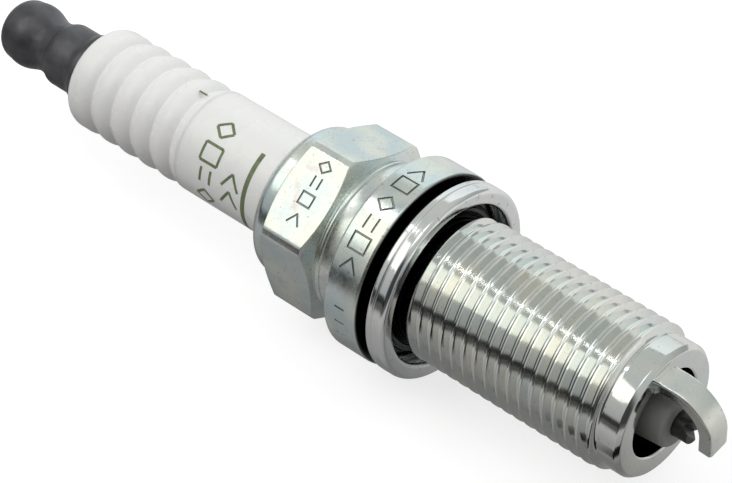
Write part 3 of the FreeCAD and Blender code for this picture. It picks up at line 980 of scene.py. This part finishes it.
# insulator: ribbed and plain barrel, hidden collar and stem, nose
insulator = {
    "columns": 192,
    "top": -41.2,
    "barrelRadius": 5.1,
    "topRound": 1.2,
    "firstValley": -37.8,
    "ribPitch": 2.58,
    "ribs": 5,
    "ribDepth": 0.46,
    "valleyWidth": 0.16,
    "valleyFloor": 0.06,
    "lobeRun": 1.35,
    "lobeMiddle": (0.62, 0.11),
    "barrelMiddle": -26.4,
    "glazeEnd": -15.3,
    "packedRadius": 4.93,
    "collarAndStem": [(-8.3, 4.93), (-8.3, 5.64), (-8.0, 5.94), (-3.0, 5.94), (-1.75, 4.75),
                      (9.05, 4.75), (9.95, 3.9), (11.0, 3.6)],
    "noseTip": 28.0,
    "noseRadius": 2.55,
    "noseRound": 0.45,
    "boreRadius": 1.65,
    "boreFront": 5.8,
    "tipBoreRadius": 1.27,
    "tipBoreRear": 6.3,
    "studSeatRadius": 2.35,
    "studSeatDepth": 0.9,
}


def barrelLine(values):
    # the ribs are full lobes between narrow valleys
    top, barrel, rounding = values["top"], values["barrelRadius"], values["topRound"]
    pitch, narrow = values["ribPitch"], values["valleyWidth"]
    floor = barrel - values["ribDepth"]
    low = floor + values["valleyFloor"]
    out, dip = values["lobeMiddle"]
    first, last = values["firstValley"], values["firstValley"] + (values["ribs"] - 1) * pitch
    steps = [(top, values["studSeatRadius"]), (top, barrel - rounding),
             (top + rounding, barrel, top + rounding * 0.293, barrel - rounding * 0.293),
             (first - values["lobeRun"], barrel), (first - narrow, low, first - out, barrel - dip)]
    for rib in range(values["ribs"]):
        valley = first + rib * pitch
        steps.append((valley + narrow, low, valley, floor))
        if rib < values["ribs"] - 1:
            steps.append((valley + pitch - narrow, low, valley + pitch / 2, barrel))
    steps.append((last + values["lobeRun"], barrel, last + out, barrel - dip))
    steps.append((values["barrelMiddle"], barrel))
    return steps


def buildInsulator(values):
    barrel, packed, glazeEnd = values["barrelRadius"], values["packedRadius"], values["glazeEnd"]
    tip, nose, rounding = values["noseTip"], values["noseRadius"], values["noseRound"]
    bore, tipBore = values["boreRadius"], values["tipBoreRadius"]
    seat = values["top"] + values["studSeatDepth"]
    steps = barrelLine(values) + [(glazeEnd, barrel), (glazeEnd + 0.1, packed)] + values["collarAndStem"]
    steps += [(tip - rounding, nose), (tip, nose - rounding, tip - rounding * 0.29, nose - rounding * 0.29),
              (tip, tipBore), (values["tipBoreRear"], tipBore), (values["boreFront"], bore),
              (seat, bore), (seat, values["studSeatRadius"])]
    mesh = rowsToMesh("insulatorBody", outline(steps), values["columns"])
    piece = newPiece("insulatorBody", mesh, whiteGlaze, 40)
    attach(piece, "plug")
    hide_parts("insulator")


buildInsulator(insulator)
print("stage insulator done")


# print on the barrel: plain shapes drawn flat, then wrapped round the glaze by Geometry Nodes
barrelPrint = {
    "lineWidth": 0.28,
    "thickness": 0.014,
    "rowX": -22.55,
    "rowHeight": 2.1,
    "rowMarks": [("diamond", 18), ("square", 47), ("bars", 72), ("diamond", 99)],
    "lowX": -19.5,
    "lowHeight": 2.2,
    "lowMarks": [("chevron", 61), ("chevron", 81)],
    "ringX": -17.75,
    "ringWidth": 0.5,
    "ringFrom": 19,
    "ringTo": 176,
    "dashX": -27.5,
    "dashAngle": -6,
    "dashLength": 1.0,
    "dashWidth": 0.22,
    "step": 0.12,
}


def wrapTree():
    # a flat line's Y is its way round the barrel, and its Z stands out from the glaze
    tree, given, result = newTree("wrapPrint", [
        ("Radius", "Float"), ("Line width", "Float"), ("Thickness", "Float"), ("Step", "Float"),
        ("Finish", "Material")])
    finer = addNode(tree, "GeometryNodeResampleCurve", {"mode": "LENGTH"}, Curve=given["Geometry"],
                    Length=given["Step"])
    section = addNode(tree, "GeometryNodeCurvePrimitiveQuadrilateral", None, Width=given["Line width"],
                      Height=given["Thickness"])
    solid = addNode(tree, "GeometryNodeCurveToMesh", None, Curve=finer.outputs[0],
                    Profile_Curve=section.outputs[0], Fill_Caps=True)
    flat = ownPlace(tree)
    angle = maths(tree, "DIVIDE", flat["Y"], given["Radius"])
    radius = maths(tree, "ADD", given["Radius"], flat["Z"])
    wrapped = roundTheAxis(tree, solid.outputs[0], flat["X"], radius, angle)
    endTree(tree, wrapped, given["Finish"], result)
    return tree


wrapPrint = wrapTree()


def buildPrint(name, lines, width, values):
    # lines are runs of (x, degrees) on the barrel
    curve = bpy.data.curves.new(name, "CURVE")
    curve.dimensions = "3D"
    for line in lines:
        spline = curve.splines.new("POLY")
        spline.points.add(len(line) - 1)
        for point, (x, degrees) in zip(spline.points, line):
            point.co = (x * mm, math.radians(degrees) * insulator["barrelRadius"] * mm, 0, 1)
    piece = bpy.data.objects.new(name, curve)
    scene.collection.objects.link(piece)
    addTree(piece, wrapPrint, {"Radius": insulator["barrelRadius"] * mm, "Line width": width * mm,
                               "Thickness": values["thickness"] * mm, "Step": values["step"] * mm,
                               "Finish": printInk})
    piece = settle(piece)
    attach(piece, "plug")


def printLines(values):
    lines = []
    for marks, x, height in ((values["rowMarks"], values["rowX"], values["rowHeight"]),
                             (values["lowMarks"], values["lowX"], values["lowHeight"])):
        for shape, degrees in marks:
            for start, end in markShapes[shape]:
                aside = math.degrees(height / insulator["barrelRadius"])
                lines.append([(x + v * height, degrees - u * aside) for u, v in (start, end)])
    return lines


def ringLine(values):
    return [[(values["ringX"], values["ringFrom"]), (values["ringX"], values["ringTo"])]]


def dashLine(values):
    half = values["dashLength"] / 2
    return [[(values["dashX"] - half, values["dashAngle"]), (values["dashX"] + half, values["dashAngle"])]]


buildPrint("barrelMarks", printLines(barrelPrint), barrelPrint["lineWidth"], barrelPrint)
buildPrint("barrelLine", ringLine(barrelPrint), barrelPrint["ringWidth"], barrelPrint)
buildPrint("barrelDash", dashLine(barrelPrint), barrelPrint["dashWidth"], barrelPrint)
print("stage print done")


# terminal nut
terminal = {
    "columns": 128,
    "bulb": [(-53.0, 0.0), (-53.0, 1.6), (-52.75, 2.15, -52.94, 1.9), (-51.2, 3.12, -52.2, 2.84),
             (-49.35, 3.14, -50.3, 3.28)],
    "waist": [(-48.3, 2.78, -48.75, 2.93), (-47.0, 2.72, -47.6, 2.66), (-46.35, 2.85)],
    "shoulder": [(-45.4, 3.2, -45.95, 3.12), (-43.4, 3.2)],
    "base": [(-42.6, 3.5, -42.95, 3.26), (-42.1, 3.72), (-41.4, 3.72), (-41.2, 3.55)],
    "hole": [(-41.2, 2.35), (-41.55, 2.0), (-50.0, 2.0), (-50.9, 0.0)],
    "edgeRound": 0.07,
}


def buildTerminal(values):
    steps = values["bulb"] + values["waist"] + values["shoulder"] + values["base"] + values["hole"]
    mesh = rowsToMesh("terminalNut", soften(outline(steps), values["edgeRound"]), values["columns"])
    piece = newPiece("terminalNut", mesh, blackSteel)
    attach(piece, "terminal_nut")
    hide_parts("terminal_nut")


buildTerminal(terminal)
print("stage terminal done")


# captive gasket: one sheet rolled into a hollow ring
gasket = {
    "columns": 240,
    "rear": 1.0,
    "front": 3.05,
    "radius": 9.4,
    "innerRadius": 6.62,
    "sheet": 0.34,
    "rearRound": 0.3,
    "frontRound": 0.55,
    "creaseX": 1.72,
    "creaseDepth": 0.07,
    "creaseReach": 0.16,
    "lipRadius": 7.85,
    "lipDepth": 0.5,
    "edgeRound": 0.05,
}


def gasketLine(values):
    rear, front, sheet, inner = values["rear"], values["front"], values["sheet"], values["innerRadius"]
    rim, back, nose = values["radius"], values["rearRound"], values["frontRound"]
    crease, dip, reach = values["creaseX"], values["creaseDepth"], values["creaseReach"]
    lip, tuck = values["lipRadius"], front - values["lipDepth"]
    outside = [
        (rear, inner + 0.4), (rear, rim - back), (rear + back, rim, rear + back * 0.293, rim - back * 0.293),
        (crease - reach, rim), (crease, rim - dip, crease - 0.04, rim - 0.01),
        (crease + reach, rim, crease + 0.04, rim - 0.01), (front - nose, rim),
        (front, rim - nose, front - nose * 0.293, rim - nose * 0.293), (front, lip + 0.4),
        (tuck, lip, front - 0.12, lip + 0.1), (tuck - sheet * 0.4, lip + sheet)]
    inside = [
        (front - sheet, lip + 0.45 + sheet * 0.5, front - sheet - 0.08, lip + 0.39 + sheet * 0.3),
        (front - sheet, rim - nose), (front - nose, rim - sheet), (rear + sheet, rim - sheet),
        (rear + sheet, inner + 0.75), (rear + sheet + 0.35, inner + 0.34, rear + sheet + 0.1, inner + 0.42),
        (rear + sheet + 0.3, inner), (rear, inner + 0.4, rear + 0.18, inner + 0.1)]
    return outline(outside + inside)[:-1]


def buildGasket(values):
    mesh = rowsToMesh("gasketRing", soften(gasketLine(values), values["edgeRound"]), values["columns"])
    piece = newPiece("gasketRing", mesh, gasketPlate, 35)
    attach(piece, "gasket")
    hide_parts("seat_gasket")


buildGasket(gasket)
print("stage gasket done")


# ground electrode: a bar with rounded edges, swept along its bend
strap = {
    "start": 26.5,
    "lean": 4.0,
    "width": 2.4,
    "thickness": 1.3,
    "centreZ": 4.87,
    "straight": 1.62,
    "bendRadius": 3.43,
    "turn": 94.5,
    "arm": 1.85,
    "corner": 0.25,
    "edgeRound": 0.2,
    "weldHeight": 0.24,
    "weldRun": 0.34,
    "weldGrain": 0.05,
    "weldSteps": (0.0, 0.06, 0.12, 0.18, 0.25, 0.33, 0.42, 0.55, 0.7, 0.9, 1.2),
    "bendSteps": 26,
}


def strapStations(values):
    # (centre, direction outward from the bend, half width, half thickness) along the bar
    stations = []
    start, centreZ = values["start"], values["centreZ"]
    half, thick = values["width"] / 2, values["thickness"] / 2
    for along in values["weldSteps"]:
        swell = values["weldHeight"] * math.exp(-(along / values["weldRun"]) ** 2)
        stations.append((Vector((start + along, 0, centreZ)), Vector((0, 0, 1)), half + swell, thick + swell))
    bend = Vector((start + values["straight"], 0, centreZ - values["bendRadius"]))
    for i in range(values["bendSteps"] + 1):
        angle = math.radians(values["turn"] * i / values["bendSteps"])
        outward = Vector((math.sin(angle), 0, math.cos(angle)))
        stations.append((bend + outward * values["bendRadius"], outward, half, thick))
    along, elbow, corner = Vector((math.cos(angle), 0, -math.sin(angle))), stations[-1][0], values["corner"]
    # distance left to the end, then how much narrower and thinner the bar is there
    for left, narrower, thinner in ((1.2, 0, 0), (0.6, 0, 0), (0.28, 0, 0), (corner, 0, 0), (0.12, 0.13, 0),
                                    (0.05, 0.2, 0.03), (0.0, corner, 0.1)):
        stations.append((elbow + along * (values["arm"] - left), outward, half - narrower, thick - thinner))
    return stations


def strapSection(halfWidth, halfThickness, rounding):
    # a rounded rectangle as (across, outward)
    points = []
    corners = ((1, 1), (-1, 1), (-1, -1), (1, -1))
    for quarter, (cornerX, cornerY) in enumerate(corners):
        for step in range(5):
            angle = math.radians(90 * quarter + 22.5 * step)
            points.append((cornerX * (halfWidth - rounding) + rounding * math.cos(angle),
                           cornerY * (halfThickness - rounding) + rounding * math.sin(angle)))
        nextX, nextY = corners[(quarter + 1) % 4]
        turned = math.radians(90 * (quarter + 1))
        start = Vector(points[-1])
        end = Vector((nextX * (halfWidth - rounding) + rounding * math.cos(turned),
                      nextY * (halfThickness - rounding) + rounding * math.sin(turned)))
        points += [tuple(start.lerp(end, share)) for share in (0.2, 0.4, 0.6, 0.8)]
    return points


def buildStrap(values):
    work = bmesh.new()
    rings = []
    lean = Matrix.Rotation(math.radians(values["lean"]), 3, "X")
    for centre, outward, halfWidth, halfThickness in strapStations(values):
        weld = max(0.0, 1 - (centre.x - values["start"]) / (2 * values["weldRun"]))
        ring = []
        for across, out in strapSection(halfWidth, halfThickness, values["edgeRound"]):
            point = centre + Vector((0, across, 0)) + outward * out
            bump = solidNoise.noise(point * 5) * values["weldGrain"] * weld
            ring.append(work.verts.new(lean @ (point + Vector((0, across, out)) * bump) * mm))
        rings.append(ring)
    for ring, other in zip(rings, rings[1:]):
        for i in range(len(ring)):
            j = (i + 1) % len(ring)
            work.faces.new((ring[i], ring[j], other[j], other[i]))
    work.faces.new(rings[0])
    work.faces.new(rings[-1])
    piece = newPiece("groundStrap", toMesh(work, bpy.data.meshes.new("groundStrap")), strapMetal, 40)
    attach(piece, "plug")
    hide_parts("ground_electrode")


buildStrap(strap)
print("stage ground electrode done")


# finishes of the CAD pieces that stay
keptFinishes = {
    "centre_electrode": nickelDark,
    "centre_electrode_core": copperCore,
    "lower_glass_seal": sealGlass,
    "upper_glass_seal": sealGlass,
    "resistor": resistorFill,
    "lower_packing_ring": ringSteel,
    "upper_packing_ring": ringSteel,
    "insulator_seat_packing": ringSteel,
    "talc_seal": talcPowder,
}
for node, finish in keptFinishes.items():
    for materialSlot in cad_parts[node].material_slots:
        materialSlot.material = finish
print("stage kept pieces done")
